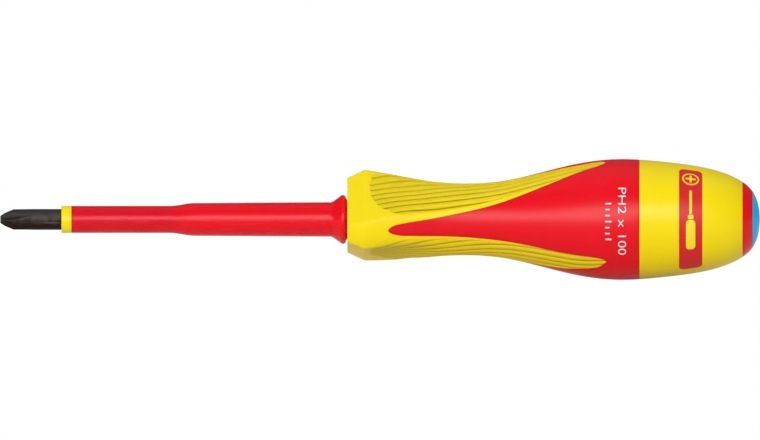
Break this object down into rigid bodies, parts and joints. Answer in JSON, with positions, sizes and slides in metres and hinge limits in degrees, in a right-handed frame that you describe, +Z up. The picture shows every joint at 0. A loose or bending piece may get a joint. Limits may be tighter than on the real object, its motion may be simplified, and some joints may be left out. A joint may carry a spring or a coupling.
{
  "type": "insulated screwdriver",
  "caption": "Insulated cross-recess screwdriver: bare steel tip, two-layer insulated blade with a guard collar, and a ribbed three-sided handle that swells to a rounded end.",
  "frame": {"origin": "middle of the end of the driver tip, on the tool's axis", "axes": "+X along the tool's axis from the tip towards the handle's end; +Z up; one of the three red petals faces -Y"},
  "size_m": [0.2189, 0.0348, 0.0348],
  "materials": {
    "burnished_steel": "dark burnished tool steel with fine turning marks",
    "yellow_plastic": "satin moulded polypropylene",
    "red_plastic": "smooth semi-gloss moulded plastic",
    "blue_plastic": "smooth semi-gloss moulded plastic",
    "core_plastic": "as-moulded hard core",
    "white_print": "white printed ink film of the size mark"
  },
  "bodies": {
    "root": {"blade": "burnished_steel", "inner_insulation": "yellow_plastic", "outer_insulation": "red_plastic", "handle_core": "core_plastic", "grip": "yellow_plastic", "petal_body": "red_plastic", "rear_band": "yellow_plastic", "rear_ring": "red_plastic", "end_cap": "blue_plastic"}
  },
  "joints": []
}
